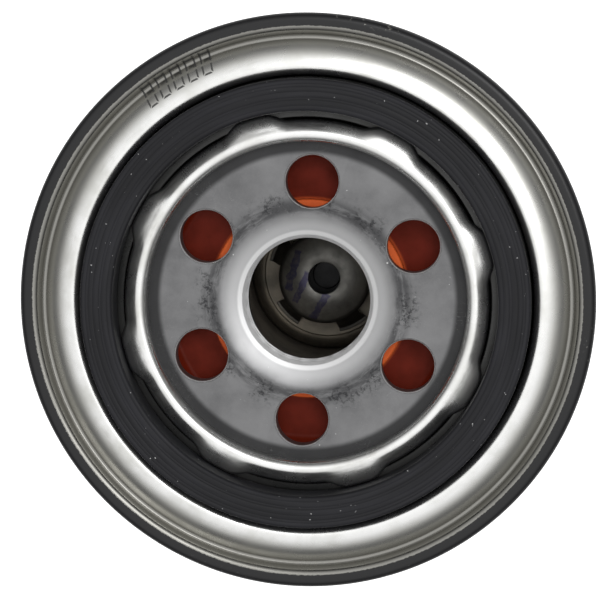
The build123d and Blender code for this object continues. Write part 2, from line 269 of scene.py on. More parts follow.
def calc(tree, operation, first, second=0.5, third=0.5, clamp=False):
    node = tree.nodes.new("ShaderNodeMath")
    node.operation = operation
    node.use_clamp = clamp
    for socket, value in zip(node.inputs, (first, second, third)):
        feed(tree, socket, value)
    return node.outputs[0]


def place(tree):
    """Object coordinates, with x, y, z, the distance from the axis and the way round it."""
    coordinates = tree.nodes.new("ShaderNodeTexCoord").outputs["Object"]
    split = tree.nodes.new("ShaderNodeSeparateXYZ")
    feed(tree, split.inputs[0], coordinates)
    x, y, z = split.outputs
    square = calc(tree, "ADD", calc(tree, "MULTIPLY", x, x), calc(tree, "MULTIPLY", y, y))
    radius = calc(tree, "SQRT", square)
    return coordinates, x, y, z, radius


def ring_place(tree, x, y, radius, along, across):
    """Coordinates that run round the axis, so that a pattern on them is drawn out in rings."""
    join = tree.nodes.new("ShaderNodeCombineXYZ")
    feed(tree, join.inputs[0], calc(tree, "MULTIPLY", calc(tree, "DIVIDE", x, radius), along))
    feed(tree, join.inputs[1], calc(tree, "MULTIPLY", calc(tree, "DIVIDE", y, radius), along))
    feed(tree, join.inputs[2], calc(tree, "MULTIPLY", radius, across))
    return join.outputs[0]


def noise(tree, vector, scale, detail=4.0, roughness=0.55, distortion=0.0):
    node = tree.nodes.new("ShaderNodeTexNoise")
    feed(tree, node.inputs["Vector"], vector)
    node.inputs["Scale"].default_value = scale
    node.inputs["Detail"].default_value = detail
    node.inputs["Roughness"].default_value = roughness
    node.inputs["Distortion"].default_value = distortion
    return node.outputs["Fac"]


def spread(tree, value, low, high, to_low=0.0, to_high=1.0, smooth=True):
    """Maps a value from one range to another, clamped."""
    node = tree.nodes.new("ShaderNodeMapRange")
    node.interpolation_type = "SMOOTHSTEP" if smooth else "LINEAR"
    for socket, number in zip(node.inputs, (value, low, high, to_low, to_high)):
        feed(tree, socket, number)
    return node.outputs[0]


def band(tree, value, low, high, soft):
    """1 between low and high, falling to 0 over a soft edge."""
    rise = spread(tree, value, low - soft, low + soft)
    fall = spread(tree, value, high - soft, high + soft, 1.0, 0.0)
    return calc(tree, "MULTIPLY", rise, fall)


def blend_colour(tree, share, first, second):
    node = tree.nodes.new("ShaderNodeMix")
    node.data_type = "RGBA"
    feed(tree, node.inputs["Factor"], share)
    for socket, value in zip((node.inputs[6], node.inputs[7]), (first, second)):
        feed(tree, socket, (*value, 1.0) if isinstance(value, tuple) else value)
    return node.outputs[2]


def blend_value(tree, share, first, second):
    node = tree.nodes.new("ShaderNodeMix")
    feed(tree, node.inputs["Factor"], share)
    for socket, value in zip((node.inputs[2], node.inputs[3]), (first, second)):
        feed(tree, socket, value)
    return node.outputs[0]


def raise_surface(tree, shader, height, strength, distance):
    """Adds a bump to the shader, on top of the bumps it has."""
    node = tree.nodes.new("ShaderNodeBump")
    node.inputs["Strength"].default_value = strength
    node.inputs["Distance"].default_value = distance
    feed(tree, node.inputs["Height"], height)
    if shader.inputs["Normal"].is_linked:
        tree.links.new(shader.inputs["Normal"].links[0].from_socket, node.inputs["Normal"])
    tree.links.new(node.outputs[0], shader.inputs["Normal"])


def near_angle(tree, x, y, radius, degrees, width):
    """1 at an angle round the axis, falling to 0 a few degrees away."""
    turned_x = calc(tree, "MULTIPLY", x, math.cos(math.radians(degrees)))
    turned_y = calc(tree, "MULTIPLY", y, math.sin(math.radians(degrees)))
    facing = calc(tree, "DIVIDE", calc(tree, "ADD", turned_x, turned_y), radius)
    return spread(tree, facing, math.cos(math.radians(width)), 1.0)


# ---- finishes ----

def printed_digits(tree, x, y, radius):
    """Ink of five plain zeros on the lid, each of thin segments."""
    digit_count = 5
    first_angle = math.radians(110.8)
    digit_step = math.radians(3.6)
    middle_radius = 35.75 * mm
    half_height = 1.42 * mm
    half_width = 0.66 * mm
    stroke = 0.13 * mm
    angle = calc(tree, "ARCTAN2", y, x)
    turns = calc(tree, "DIVIDE", calc(tree, "SUBTRACT", angle, first_angle), digit_step)
    in_row = calc(tree, "MULTIPLY", calc(tree, "GREATER_THAN", turns, 0.0),
                  calc(tree, "LESS_THAN", turns, float(digit_count)))
    across = calc(tree, "SUBTRACT", calc(tree, "FRACT", turns), 0.5)
    across = calc(tree, "MULTIPLY", across, digit_step * middle_radius)
    up = calc(tree, "SUBTRACT", radius, middle_radius)
    across = calc(tree, "ABSOLUTE", calc(tree, "ADD", across, calc(tree, "MULTIPLY", up, 0.12)))
    up = calc(tree, "ABSOLUTE", up)
    side_off = calc(tree, "SUBTRACT", across, half_width)
    top_off = calc(tree, "SUBTRACT", up, half_height)
    frame_off = calc(tree, "ABSOLUTE", calc(tree, "MAXIMUM", side_off, top_off))
    line = calc(tree, "LESS_THAN", frame_off, stroke)
    corner = calc(tree, "LESS_THAN", calc(tree, "ABSOLUTE", calc(tree, "SUBTRACT", side_off, top_off)),
                  0.12 * mm)
    middle = calc(tree, "LESS_THAN", up, 0.16 * mm)
    gaps = calc(tree, "MAXIMUM", corner, middle)
    ink = calc(tree, "MULTIPLY", line, calc(tree, "SUBTRACT", 1.0, gaps))
    return calc(tree, "MULTIPLY", ink, in_row)


def tin_plate_finish():
    """Bright tin plate with drawing rings and smudges, black paint over the seam, and a print, with painted shade
    on the crest's outer slope and in the countersink corner, and a painted shadow in the slot beside the inner
    ridge.
    """
    finish, tree, shader = new_finish("tin_plate_and_paint")
    coordinates, x, y, z, radius = place(tree)
    fine_rings = noise(tree, ring_place(tree, x, y, radius, 1.2, 9000.0), 1.0, 3.0)
    smudges = noise(tree, coordinates, 160.0, 5.0, 0.6)
    stains = noise(tree, ring_place(tree, x, y, radius, 3.0, 500.0), 1.0, 5.0, 0.65)
    metal = blend_colour(tree, spread(tree, smudges, 0.35, 0.75), (0.80, 0.80, 0.79), (0.64, 0.64, 0.61))
    metal = blend_colour(tree, spread(tree, stains, 0.56, 0.78, 0.0, 0.55), metal, (0.36, 0.35, 0.32))
    rubbed = band(tree, radius, 23.9 * mm, 24.9 * mm, 0.25 * mm)
    rubbed = calc(tree, "MULTIPLY", rubbed, spread(tree, stains, 0.42, 0.58))
    metal = blend_colour(tree, calc(tree, "MULTIPLY", rubbed, 0.6), metal, (0.30, 0.30, 0.29))
    # painted shade: the outer slope of the crest is darkened to olive grey where it turns away from the overhead
    # light
    painted_slope_shade = spread(tree, radius, 33.2 * mm, 34.8 * mm)
    metal = blend_colour(tree, calc(tree, "MULTIPLY", painted_slope_shade, 0.7), metal, (0.46, 0.455, 0.42))
    # painted shade: the countersink corner below the seam is darkened
    painted_corner_shade = spread(tree, radius, 35.6 * mm, 36.6 * mm)
    metal = blend_colour(tree, calc(tree, "MULTIPLY", painted_corner_shade, 0.8), metal, (0.17, 0.165, 0.15))
    # painted shadow: the low groove between the inner ridge and the gasket is coloured almost black
    painted_slot_shadow = band(tree, radius, ridge_radius - 0.1 * mm, groove_radius - 0.2 * mm, 0.2 * mm)
    painted_slot_shadow = calc(tree, "MULTIPLY", painted_slot_shadow, spread(tree, z, plate_top + 1.0 * mm, plate_top + 1.7 * mm, 1.0, 0.0))
    metal = blend_colour(tree, calc(tree, "MULTIPLY", painted_slot_shadow, 0.95), metal, (0.02, 0.02, 0.02))
    metal_rough = spread(tree, smudges, 0.3, 0.8, 0.24, 0.36)

    ragged = noise(tree, coordinates, 2600.0, 3.0, 0.7)
    edge = calc(tree, "MULTIPLY_ADD", ragged, 0.34 * mm, radius)
    paint = spread(tree, edge, paint_radius + 0.14 * mm, paint_radius + 0.22 * mm)
    outside = calc(tree, "LESS_THAN", z, seam_top - 1.2 * mm)
    outside = calc(tree, "MULTIPLY", outside, calc(tree, "GREATER_THAN", radius, paint_radius))
    paint = calc(tree, "MAXIMUM", paint, outside)
    chip_noise = noise(tree, ring_place(tree, x, y, radius, 60.0, 2200.0), 1.0, 4.0, 0.6)
    chips = spread(tree, chip_noise, 0.78, 0.80)
    for degrees, width, least in ((78, 9, 0.62), (252, 7, 0.62), (290, 5, 0.64), (352, 4, 0.62)):
        worn = calc(tree, "MULTIPLY", near_angle(tree, x, y, radius, degrees, width),
                    spread(tree, chip_noise, least, least + 0.04))
        chips = calc(tree, "MAXIMUM", chips, worn)
    on_rim = spread(tree, radius, seam_radius - 1.5 * mm, seam_radius - 0.4 * mm)
    chips = calc(tree, "MULTIPLY", chips, on_rim)
    paint = calc(tree, "MULTIPLY", paint, calc(tree, "SUBTRACT", 1.0, chips))
    ink = calc(tree, "MULTIPLY", printed_digits(tree, x, y, radius), 0.88)
    cover = calc(tree, "MAXIMUM", paint, ink)

    colour = blend_colour(tree, cover, metal, (0.014, 0.014, 0.015))
    feed(tree, shader.inputs["Base Color"], colour)
    feed(tree, shader.inputs["Metallic"], calc(tree, "SUBTRACT", 1.0, cover))
    feed(tree, shader.inputs["Roughness"], blend_value(tree, cover, metal_rough, 0.28))
    shader.inputs["Specular IOR Level"].default_value = 0.32
    raise_surface(tree, shader, fine_rings, 0.05, 0.05 * mm)
    raise_surface(tree, shader, noise(tree, coordinates, 900.0, 3.0), 0.05, 0.12 * mm)
    raise_surface(tree, shader, paint, 0.6, 0.05 * mm)
    return finish


def plate_finish():
    """Dull grey phosphated steel, rubbed dark round the neck and bright on the lead-in; the bare thread steel is
    painted lighter as a painted highlight, and painted shade darkens the ring round the lid's lip.
    """
    finish, tree, shader = new_finish("phosphated_steel")
    coordinates, x, y, z, radius = place(tree)
    cloud = noise(tree, coordinates, 130.0, 6.0, 0.62)
    grain = noise(tree, coordinates, 5200.0, 3.0, 0.7)
    colour = blend_colour(tree, spread(tree, cloud, 0.3, 0.75), (0.20, 0.20, 0.203), (0.14, 0.14, 0.143))
    colour = blend_colour(tree, spread(tree, grain, 0.45, 0.8, 0.0, 0.35), colour, (0.21, 0.21, 0.21))
    streaks = noise(tree, ring_place(tree, x, y, radius, 2.4, 900.0), 1.0, 6.0, 0.7)
    dark_ring = band(tree, radius, 12.3 * mm, 14.4 * mm, 0.9 * mm)
    dark_ring = calc(tree, "MULTIPLY", dark_ring, spread(tree, streaks, 0.34, 0.56))
    colour = blend_colour(tree, calc(tree, "MULTIPLY", dark_ring, 0.75), colour, (0.035, 0.035, 0.037))
    speckle = spread(tree, noise(tree, coordinates, 1500.0, 6.0, 0.75), 0.5, 0.56)
    patches = spread(tree, noise(tree, coordinates, 260.0, 3.0), 0.44, 0.56)
    speckle = calc(tree, "MULTIPLY", calc(tree, "MULTIPLY", speckle, patches),
                   band(tree, radius, 12.6 * mm, 15.4 * mm, 1.1 * mm))
    colour = blend_colour(tree, calc(tree, "MULTIPLY", speckle, 0.8), colour, (0.028, 0.028, 0.03))
    burnish = spread(tree, radius, 10.2 * mm, 12.9 * mm, 0.95, 0.0)
    colour = blend_colour(tree, burnish, colour, (0.56, 0.56, 0.565))
    # bare steel of the thread and of the top edges; on the thread it is painted lighter still, as a painted
    # highlight
    bare_steel_and_painted_highlight = spread(tree, radius, thread_major + 0.15 * mm, thread_major + 0.5 * mm, 0.9, 0.0)
    rim = band(tree, z, plate_top - 0.24 * mm, plate_top - 0.04 * mm, 0.03 * mm)
    rim = calc(tree, "MULTIPLY", rim, calc(tree, "GREATER_THAN", radius, lead_in_radius + 0.4 * mm))
    bare_steel_and_painted_highlight = calc(tree, "MAXIMUM", bare_steel_and_painted_highlight, calc(tree, "MULTIPLY", rim, 0.8))
    colour = blend_colour(tree, bare_steel_and_painted_highlight, colour, (0.84, 0.84, 0.84))
    # painted shade: the plate is darkened next to the lid's inner lip, where the lip shades it
    painted_lip_shade = band(tree, radius, 20.7 * mm, 22.6 * mm, 0.45 * mm)
    colour = blend_colour(tree, calc(tree, "MULTIPLY", painted_lip_shade, 0.93), colour, (0.03, 0.03, 0.031))
    scratch_noise = noise(tree, coordinates, 420.0, 2.0, 0.5, 2.5)
    scratches = band(tree, scratch_noise, 0.4985, 0.5015, 0.0012)
    patchy = spread(tree, noise(tree, coordinates, 90.0, 2.0), 0.52, 0.62)
    scratches = calc(tree, "MULTIPLY", scratches, patchy)
    colour = blend_colour(tree, calc(tree, "MULTIPLY", scratches, 0.45), colour, (0.42, 0.42, 0.42))
    flecks = spread(tree, noise(tree, coordinates, 2100.0, 1.0), 0.79, 0.82)
    colour = blend_colour(tree, calc(tree, "MULTIPLY", flecks, 0.8), colour, (0.75, 0.75, 0.74))
    feed(tree, shader.inputs["Base Color"], colour)
    shader.inputs["Metallic"].default_value = 0.85
    feed(tree, shader.inputs["Roughness"], spread(tree, cloud, 0.3, 0.8, 0.42, 0.55))
    raise_surface(tree, shader, grain, 0.12, 0.05 * mm)
    raise_surface(tree, shader, streaks, 0.12, 0.06 * mm)
    raise_surface(tree, shader, scratches, 0.3, 0.03 * mm)
    return finish


def gasket_finish():
    """Matt black moulded rubber with fine rings and dust."""
    finish, tree, shader = new_finish("moulded_black_rubber")
    coordinates, x, y, z, radius = place(tree)
    rings = noise(tree, ring_place(tree, x, y, radius, 0.7, 5200.0), 1.0, 3.0, 0.7)
    bloom = noise(tree, ring_place(tree, x, y, radius, 2.0, 700.0), 1.0, 4.0)
    colour = blend_colour(tree, spread(tree, bloom, 0.35, 0.75), (0.011, 0.011, 0.013), (0.020, 0.020, 0.024))
    colour = blend_colour(tree, spread(tree, rings, 0.55, 0.8, 0.0, 0.5), colour, (0.032, 0.033, 0.039))
    dust = spread(tree, noise(tree, coordinates, 2300.0, 1.0), 0.765, 0.80)
    colour = blend_colour(tree, calc(tree, "MULTIPLY", dust, 0.8), colour, (0.55, 0.55, 0.55))
    feed(tree, shader.inputs["Base Color"], colour)
    shader.inputs["Specular IOR Level"].default_value = 0.22
    feed(tree, shader.inputs["Roughness"], spread(tree, rings, 0.3, 0.7, 0.42, 0.58))
    raise_surface(tree, shader, rings, 0.35, 0.05 * mm)
    raise_surface(tree, shader, noise(tree, coordinates, 3000.0, 3.0), 0.12, 0.04 * mm)
    return finish


def silicone_finish():
    """Orange-red silicone, slightly dusty, with painted shadow darkening the flap beyond about 14 mm from the axis,
    under the plate.
    """
    finish, tree, shader = new_finish("orange_silicone")
    coordinates, x, y, z, radius = place(tree)
    cloud = noise(tree, coordinates, 300.0, 4.0)
    bright = blend_colour(tree, spread(tree, cloud, 0.3, 0.75), (0.80, 0.15, 0.035), (0.62, 0.10, 0.026))
    # painted shadow: the flap outside about 14 mm from the axis gets this darker copy of the orange, for the shade
    # under the plate
    painted_shadow_orange = blend_colour(tree, spread(tree, cloud, 0.3, 0.75), (0.15, 0.011, 0.002), (0.10, 0.008, 0.0015))
    colour = blend_colour(tree, spread(tree, radius, 13.7 * mm, 14.5 * mm), bright, painted_shadow_orange)
    shader.inputs["Specular IOR Level"].default_value = 0.1
    feed(tree, shader.inputs["Base Color"], colour)
    feed(tree, shader.inputs["Roughness"], spread(tree, cloud, 0.3, 0.8, 0.42, 0.6))
    raise_surface(tree, shader, noise(tree, coordinates, 2500.0, 2.0), 0.1, 0.04 * mm)
    return finish


def steel_finish(name, light, dark, metallic, rough, cloud_scale=220.0, ring_mark=0.3):
    """Pressed steel with a cloudy oiled surface and faint drawing rings."""
    finish, tree, shader = new_finish(name)
    coordinates, x, y, z, radius = place(tree)
    cloud = noise(tree, coordinates, cloud_scale, 5.0, 0.6)
    rings = noise(tree, ring_place(tree, x, y, radius, 1.5, 2600.0), 1.0, 4.0, 0.65)
    colour = blend_colour(tree, spread(tree, cloud, 0.32, 0.72), light, dark)
    mark = spread(tree, rings, 0.5, 0.78, 0.0, ring_mark)
    colour = blend_colour(tree, mark, colour, tuple(0.6 * part for part in dark))
    feed(tree, shader.inputs["Base Color"], colour)
    shader.inputs["Metallic"].default_value = metallic
    feed(tree, shader.inputs["Roughness"], spread(tree, cloud, 0.3, 0.8, rough, rough + 0.14))
    raise_surface(tree, shader, rings, 0.06, 0.05 * mm)
    raise_surface(tree, shader, noise(tree, coordinates, 1400.0, 3.0), 0.06, 0.05 * mm)
    return finish


def stroke_mask(tree, x, y, start, end, width):
    """1 on a straight stroke of that width from start to end, seen along the axis."""
    along = (Vector(end) - Vector(start))
    length = along.length
    along = along / length
    from_x = calc(tree, "SUBTRACT", x, start[0])
    from_y = calc(tree, "SUBTRACT", y, start[1])
    run = calc(tree, "ADD", calc(tree, "MULTIPLY", from_x, along.x), calc(tree, "MULTIPLY", from_y, along.y))
    off = calc(tree, "SUBTRACT", calc(tree, "MULTIPLY", from_x, along.y), calc(tree, "MULTIPLY", from_y, along.x))
    inside = spread(tree, calc(tree, "ABSOLUTE", off), width / 2 - 0.08 * mm, width / 2 + 0.08 * mm, 1.0, 0.0)
    return calc(tree, "MULTIPLY", inside, band(tree, run, 0.0, length, 0.15 * mm))


def cage_finish():
    """Pressed steel with three dark blue strokes of marking fluid."""
    finish = steel_finish("marked_cage_steel", (0.20, 0.195, 0.18), (0.12, 0.118, 0.108), 0.85, 0.34, 300.0)
    tree = finish.node_tree
    shader = tree.nodes["Principled BSDF"]
    coordinates, x, y, z, radius = place(tree)
    wobble = calc(tree, "MULTIPLY", calc(tree, "SUBTRACT", noise(tree, coordinates, 900.0, 3.0), 0.5), 1.1 * mm)
    x = calc(tree, "ADD", x, wobble)
    ink = 0.0
    for start, end, width in (
        ((-3.9 * mm, 4.2 * mm), (-5.5 * mm, -1.9 * mm), 1.15 * mm),
        ((-2.4 * mm, 0.9 * mm), (-4.5 * mm, -3.7 * mm), 1.0 * mm),
        ((0.4 * mm, -2.4 * mm), (-1.8 * mm, -6.2 * mm), 1.05 * mm),
    ):
        ink = calc(tree, "MAXIMUM", ink, stroke_mask(tree, x, y, start, end, width))
    patchy = spread(tree, noise(tree, coordinates, 1500.0, 3.0), 0.3, 0.6, 0.55, 1.0)
    ink = calc(tree, "MULTIPLY", ink, patchy)
    plain = shader.inputs["Base Color"].links[0].from_socket
    feed(tree, shader.inputs["Base Color"], blend_colour(tree, ink, plain, (0.07, 0.065, 0.11)))
    return finish


def paint_finish():
    """Gloss black paint with a faint orange peel and small scuffs."""
    finish, tree, shader = new_finish("gloss_black_paint")
    coordinates, x, y, z, radius = place(tree)
    peel = noise(tree, coordinates, 700.0, 2.0)
    scuffs = noise(tree, coordinates, 260.0, 6.0, 0.7, 1.2)
    colour = blend_colour(tree, spread(tree, scuffs, 0.6, 0.85), (0.012, 0.012, 0.013), (0.035, 0.035, 0.036))
    feed(tree, shader.inputs["Base Color"], colour)
    feed(tree, shader.inputs["Roughness"], spread(tree, scuffs, 0.45, 0.8, 0.2, 0.42))
    shader.inputs["Coat Weight"].default_value = 0.4
    shader.inputs["Coat Roughness"].default_value = 0.12
    raise_surface(tree, shader, peel, 0.06, 0.25 * mm)
    return finish


def plain_finish(name, light, dark, rough, scale=400.0, metallic=0.0):
    """Cloudy finish of a soft or pasty piece inside."""
    finish, tree, shader = new_finish(name)
    coordinates, x, y, z, radius = place(tree)
    cloud = noise(tree, coordinates, scale, 5.0, 0.6)
    feed(tree, shader.inputs["Base Color"], blend_colour(tree, spread(tree, cloud, 0.3, 0.75), light, dark))
    feed(tree, shader.inputs["Roughness"], spread(tree, cloud, 0.3, 0.8, rough, min(1.0, rough + 0.15)))
    shader.inputs["Metallic"].default_value = metallic
    raise_surface(tree, shader, noise(tree, coordinates, 5 * scale, 3.0), 0.15, 0.05 * mm)
    return finish


def paper_finish():
    """Resin-treated filter paper with fibres."""
    finish, tree, shader = new_finish("filter_paper")
    coordinates, x, y, z, radius = place(tree)
    fibres = noise(tree, coordinates, 3800.0, 5.0, 0.75, 3.0)
    colour = blend_colour(tree, spread(tree, fibres, 0.35, 0.7), (0.82, 0.72, 0.46), (0.70, 0.58, 0.33))
    feed(tree, shader.inputs["Base Color"], colour)
    shader.inputs["Roughness"].default_value = 0.9
    raise_surface(tree, shader, fibres, 0.3, 0.06 * mm)
    return finish


# ---- pieces ----

def lid_piece():
    """Gasket retainer: inner ridge with pressed bulges, groove, outer crest, countersink, seam."""
    panel_radius = seam_radius - lid_wall / 2
    body_hook_radius = seam_radius - lid_wall - seam_gap - can_wall / 2
    cover_hook_radius = body_hook_radius - can_wall / 2 - seam_gap - lid_wall / 2
    chuck_radius = cover_hook_radius - lid_wall - 2 * seam_gap - can_wall
    panel_height = seam_top - lid_wall / 2
    groove_height = plate_top + lid_wall / 2
    ridge_height = plate_top + 3.0 * mm
    crest_height = plate_top + 3.2 * mm
    shoulder_radius = groove_radius + 0.55 * (countersink_radius - groove_radius)
    seam_bend = 0.4 * (panel_radius - chuck_radius)
    hook_bend = (panel_radius - cover_hook_radius) / 2
    piece = turn("gasket_retainer", sheet_outline([
        (lip_radius, plate_top + 0.06 * mm),
        (lip_radius, ridge_height, 0.9 * mm),
        (ridge_radius, ridge_height - 1.3 * mm, 0.6 * mm),
        (ridge_radius, groove_height, 0.6 * mm),
        (groove_radius, groove_height, 0.6 * mm),
        (groove_radius, crest_height, 0.9 * mm),
        (shoulder_radius, crest_height - 0.4 * mm, 4.5 * mm),
        (countersink_radius, plate_top + 0.9 * mm, 0.7 * mm),
        (chuck_radius, panel_height, seam_bend),
        (panel_radius, panel_height, seam_bend),
        (panel_radius, seam_bottom + lid_wall / 2, hook_bend),
        (cover_hook_radius, seam_bottom + lid_wall / 2, hook_bend),
        (cover_hook_radius, panel_height - 1.15 * mm),
    ], lid_wall))

    def press_bulge(place):
        radius = math.hypot(place.x, place.y)
        step = 2 * math.pi / bulge_count
        off = (math.atan2(place.y, place.x) - bulge_angle + step / 2) % step - step / 2
        share = 1 - soft_step(abs(off), math.radians(4.0), math.radians(11.0))
        share *= soft_step(radius, lip_radius + 0.9 * mm, ridge_radius - 0.3 * mm)
        share *= 1 - soft_step(radius, ridge_radius + 0.3 * mm, ridge_radius + 1.0 * mm)
        share *= soft_step(place.z, plate_top + 0.5 * mm, plate_top + 1.3 * mm)
        grown = 1 + share * bulge_reach / radius
        return Vector((place.x * grown, place.y * grown, place.z))

    move_points(piece, press_bulge)
    return piece


def plate_piece():
    """Thick plate with a rolled lead-in, a helical thread and six deburred inlet holes."""
    neck_bottom = plate_low.z
    thread_bottom = neck_bottom + 0.5 * mm
    entry_height = plate_top - 1.15 * mm
    entry_radius = thread_minor + 0.45 * mm
    thread_top = entry_height - (entry_radius - thread_minor)
    row_step = thread_pitch / 24
    rows = int((thread_top - thread_bottom) / row_step)
    thread_rows = [(thread_minor, thread_bottom + row * row_step) for row in range(rows + 1)]
    piece = turn("base_plate_with_neck", [
        (lead_in_radius, plate_top, 2.6 * mm),
        (plate_high.x, plate_top, 0.4 * mm),
        (plate_high.x, plate_underside, 0.4 * mm),
        (neck_radius, plate_underside, 0.4 * mm),
        (neck_radius, neck_bottom, 0.4 * mm),
        (thread_minor + 0.5 * mm, neck_bottom, 0.1 * mm),
        *thread_rows,
        (thread_minor, thread_top),
        (entry_radius, entry_height, 0.35 * mm),
    ])
    depth = thread_major - thread_minor

    def cut_thread(place):
        radius = math.hypot(place.x, place.y)
        if abs(radius - thread_minor) > 0.01 * mm:
            return place
        phase = (place.z / thread_pitch - math.atan2(place.y, place.x) / (2 * math.pi)) % 1
        flank = min(1, max(0, (0.44 - abs(phase - 0.5)) / 0.31))
        fade = soft_step(place.z, thread_bottom, thread_bottom + 0.3 * mm)
        fade *= 1 - soft_step(place.z, thread_top - 0.3 * mm, thread_top)
        grown = 1 + depth * flank * fade / radius
        return Vector((place.x * grown, place.y * grown, place.z))

    move_points(piece, cut_thread)
    burr = 0.22 * mm
    for hole in range(hole_count):
        drill = turn("drill", [
            (0, plate_top + mm),
            (hole_radius + burr, plate_top + mm),
            (hole_radius + burr, plate_top),
            (hole_radius, plate_top - burr, 0.2 * mm),
            (hole_radius, plate_underside + burr, 0.2 * mm),
            (hole_radius + burr, plate_underside),
            (hole_radius + burr, plate_underside - mm),
            (0, plate_underside - mm),
        ], closed=False, steps=72)
        angle = hole_angle + hole * 2 * math.pi / hole_count
        drill.data.transform(Matrix.Translation(
            (hole_circle * math.cos(angle), hole_circle * math.sin(angle), 0)
        ))
        cut(piece, drill)
    take(piece)
    bpy.ops.object.shade_smooth_by_angle(angle=math.radians(30))
    return piece


def gasket_piece():
    """Square-section ring with shallow moulded rings on its upper face."""
    inner = gasket_radius - gasket_width
    top = gasket_high.z
    groove_depth = 0.03 * mm
    groove_half = 0.06 * mm
    upper = []
    for share in (0.17, 0.26, 0.40, 0.58, 0.66, 0.83):
        middle = gasket_radius - share * gasket_width
        upper += [
            (middle + groove_half, top),
            (middle, top - groove_depth),
            (middle - groove_half, top),
        ]
    return turn("square_gasket", [
        (inner, gasket_low.z, 0.5 * mm),
        (gasket_radius, gasket_low.z, 0.5 * mm),
        (gasket_radius, top, 0.5 * mm),
        *upper,
        (inner, top, 0.5 * mm),
    ])


def valve_bead_piece():
    """Bead of the silicone valve, round the neck."""
    inner = neck_radius + 0.3 * mm
    bottom = valve_low.z
    return turn("drainback_bead", [
        (inner, plate_underside - 0.6 * mm, 0.1 * mm),
        (inner + 0.6 * mm, plate_underside - 0.02 * mm, 0.1 * mm),
        (bead_radius, plate_underside - 0.02 * mm, 0.3 * mm),
        (bead_radius, flap_top, 0.1 * mm),
        (bead_radius, flap_top - flap_wall, 0.1 * mm),
        (bead_radius - 0.2 * mm, bottom, 0.3 * mm),
        (inner, bottom, 0.2 * mm),
    ])


def valve_flap_piece():
    """Flap of the silicone valve, rising to its sealing lip."""
    lip = valve_high.x - 0.4 * mm
    rise = lip - 1.8 * mm
    root = bead_radius + 0.01 * mm
    return turn("drainback_flap", [
        (root, flap_top - 0.02 * mm),
        (rise, flap_top, 1.0 * mm),
        (lip, plate_underside - 0.02 * mm, 0.08 * mm),
        (valve_high.x, plate_underside - 0.02 * mm, 0.1 * mm),
        (valve_high.x, plate_underside - 0.8 * mm, 0.2 * mm),
        (rise + 0.4 * mm, flap_top - flap_wall, 1.5 * mm),
        (root, flap_top - flap_wall),
    ])


def cage_piece():
    """Domed cage drawn from sheet, with five legs that splay out to feet."""
    wall = 0.5 * mm
    leg_count = 5
    leg_angle = math.radians(-63)
    leg_half = math.radians(15)
    crown = cage_high.z - wall / 2
    wall_radius = 7.05 * mm - wall / 2
    foot_height = cage_low.z + wall / 2
    skirt_bottom = crown - 1.9 * mm
    leg_top = crown - 2.9 * mm
    steps = 180
    piece = spin_round(draw("bypass_cage_shell", outline([
        (2.4 * mm, crown),
        (4.6 * mm, crown - 0.14 * mm, 9 * mm),
        (wall_radius, crown - 0.7 * mm, 0.8 * mm),
        (wall_radius, skirt_bottom),
        (wall_radius, leg_top, 0.6 * mm),
        (8.5 * mm, foot_height, 0.5 * mm),
        (9.2 * mm, foot_height),
    ], closed=False), closed=False), steps)
    take(piece)
    bpy.ops.object.mode_set(mode="EDIT")
    bpy.ops.mesh.select_mode(type="FACE")
    bpy.ops.object.mode_set(mode="OBJECT")
    for face in piece.data.polygons:
        middle = face.center
        step = 2 * math.pi / leg_count
        off = (math.atan2(middle.y, middle.x) - leg_angle + step / 2) % step - step / 2
        face.select = middle.z < skirt_bottom and abs(off) > leg_half
    bpy.ops.object.mode_set(mode="EDIT")
    bpy.ops.mesh.delete(type="FACE")
    bpy.ops.mesh.select_mode(type="VERT")
    bpy.ops.object.mode_set(mode="OBJECT")
    apply(piece, "SOLIDIFY", thickness=wall, offset=0.0, use_even_offset=True)
    apply(piece, "BEVEL", width=0.08 * mm, segments=2, limit_method="ANGLE", angle_limit=math.radians(50))
    return clean(piece)


def spring_piece():
    """Coil spring between the poppet and the cage, the ends of its wire capped."""
    wire = 0.35 * mm
    coil = 4.6 * mm
    turns = 3.25
    rise = spring_high.z - disc_high.z - 2 * wire
    select_none()
    bpy.ops.mesh.primitive_circle_add(
        vertices=12, radius=wire, rotation=(math.pi / 2, 0, 0),
        location=(coil, 0, disc_high.z + wire)
    )
    piece = bpy.context.active_object
    piece.name = piece.data.name = "bypass_coil"
    bpy.ops.object.transform_apply(location=True, rotation=True, scale=True)
    apply(piece, "SCREW", angle=2 * math.pi * turns, screw_offset=rise, steps=220,
          render_steps=220, axis="Z", use_normal_calculate=True)
    take(piece)
    bpy.ops.object.mode_set(mode="EDIT")
    bpy.ops.mesh.select_all(action="DESELECT")
    bpy.ops.mesh.select_non_manifold()
    bpy.ops.mesh.edge_face_add()
    return clean(piece)


def leaf_piece():
    """The leaf spring under the element, merged from its solid."""
    take(nodes["support_spring"])
    bpy.ops.object.duplicate()
    piece = bpy.context.active_object
    piece.name = piece.data.name = "leaf_spring"
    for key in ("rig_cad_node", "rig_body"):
        if key in piece:
            del piece[key]
    return clean(piece, 25)


# ---- putting the pieces on their bodies ----

